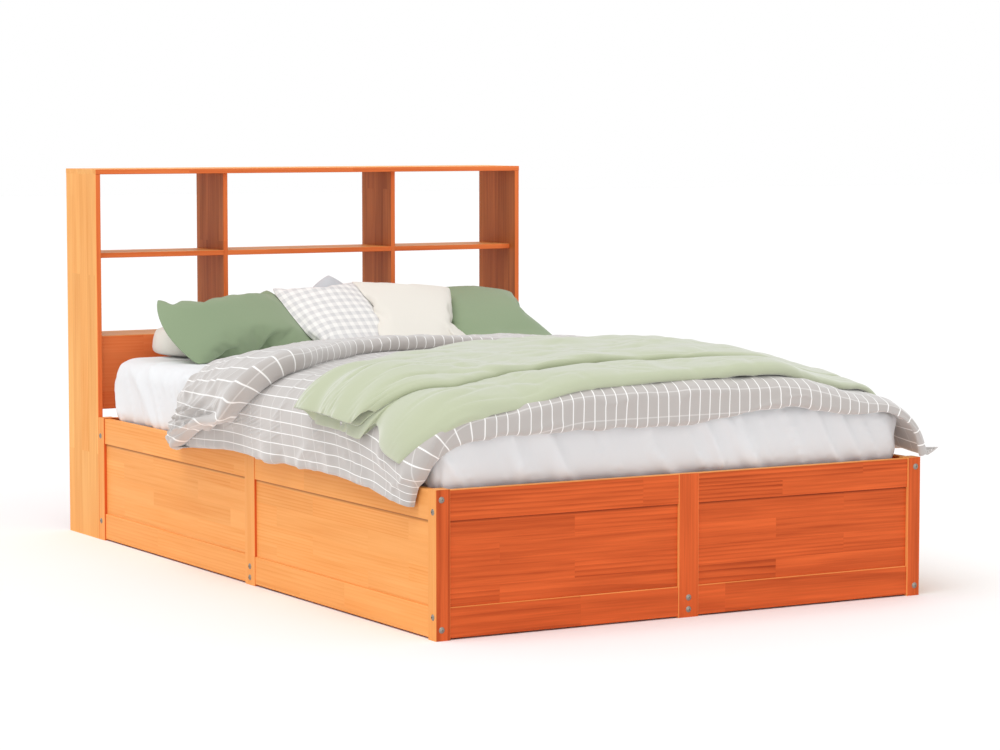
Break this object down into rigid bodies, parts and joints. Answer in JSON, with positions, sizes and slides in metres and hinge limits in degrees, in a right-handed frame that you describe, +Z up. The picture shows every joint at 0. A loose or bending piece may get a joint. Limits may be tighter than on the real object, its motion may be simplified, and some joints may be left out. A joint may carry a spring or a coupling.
{
  "type": "wooden bed",
  "caption": "Pine double bed with panelled base on posts, slatted support, open bookcase headboard, and a made-up mattress with duvet, throw and pillows.",
  "frame": {"origin": "on the floor, under the middle of the whole bed's box", "axes": "+X to the right for someone at the foot, +Y from the foot to the head, +Z up"},
  "size_m": [1.6606, 2.3154, 1.1],
  "materials": {
    "waxed_pine": "satin",
    "plain_pine": "matte",
    "beech_dowel": "matte",
    "zinc_steel": "satin",
    "cotton_sheet": "matte",
    "duvet_cotton": "matte",
    "throw_fabric": "matte",
    "green_linen": "matte",
    "check_cotton": "matte",
    "cream_cotton": "matte"
  },
  "bodies": {
    "frame": {"angle_brackets": "zinc_steel", "barrel_nuts": "zinc_steel", "bolts": "zinc_steel", "centre_beam": "plain_pine", "centre_legs": "plain_pine", "cross_stretcher": "plain_pine", "dowels": "beech_dowel", "foot_bottom_rail_left": "waxed_pine", "foot_bottom_rail_right": "waxed_pine", "foot_middle_post": "waxed_pine", "foot_panel_left": "waxed_pine", "foot_panel_right": "waxed_pine", "foot_post_left": "waxed_pine", "foot_post_right": "waxed_pine", "foot_top_rail_left": "waxed_pine", "foot_top_rail_right": "waxed_pine", "head_bottom_rails": "waxed_pine", "head_middle_post": "waxed_pine", "head_panels": "waxed_pine", "head_post_left": "waxed_pine", "head_post_right": "waxed_pine", "head_top_rails": "waxed_pine", "headboard_divider_left": "waxed_pine", "headboard_divider_right": "waxed_pine", "headboard_lower_shelf": "waxed_pine", "headboard_panel": "waxed_pine", "headboard_shelf_centre": "waxed_pine", "headboard_shelf_left": "waxed_pine", "headboard_shelf_right": "waxed_pine", "headboard_side_left": "waxed_pine", "headboard_side_right": "waxed_pine", "headboard_top_left": "waxed_pine", "headboard_top_right": "waxed_pine", "left_bottom_rail_foot": "waxed_pine", "left_bottom_rail_head": "waxed_pine", "left_middle_post": "waxed_pine", "left_panel_foot": "waxed_pine", "left_panel_head": "waxed_pine", "left_top_rail_foot": "waxed_pine", "left_top_rail_head": "waxed_pine", "long_stretcher": "plain_pine", "right_bottom_rail_foot": "waxed_pine", "right_bottom_rail_head": "waxed_pine", "right_middle_post": "waxed_pine", "right_panel_foot": "waxed_pine", "right_panel_head": "waxed_pine", "right_top_rail_foot": "waxed_pine", "right_top_rail_head": "waxed_pine", "slat_ledgers": "plain_pine", "slats": "plain_pine", "wood_screws": "zinc_steel"},
    "mattress": {"back_pillows": "cream_cotton", "check_pillow": "check_cotton", "cream_pillow": "cream_cotton", "duvet": "duvet_cotton", "green_pillow_left": "green_linen", "green_pillow_right": "green_linen", "mattress": "cotton_sheet", "throw": "throw_fabric"}
  },
  "joints": [
    {"name": "mattress_lift", "type": "slide", "parent": "frame", "child": "mattress", "axis": [0, 0, 1], "range_m": [0, 0.4]}
  ]
}
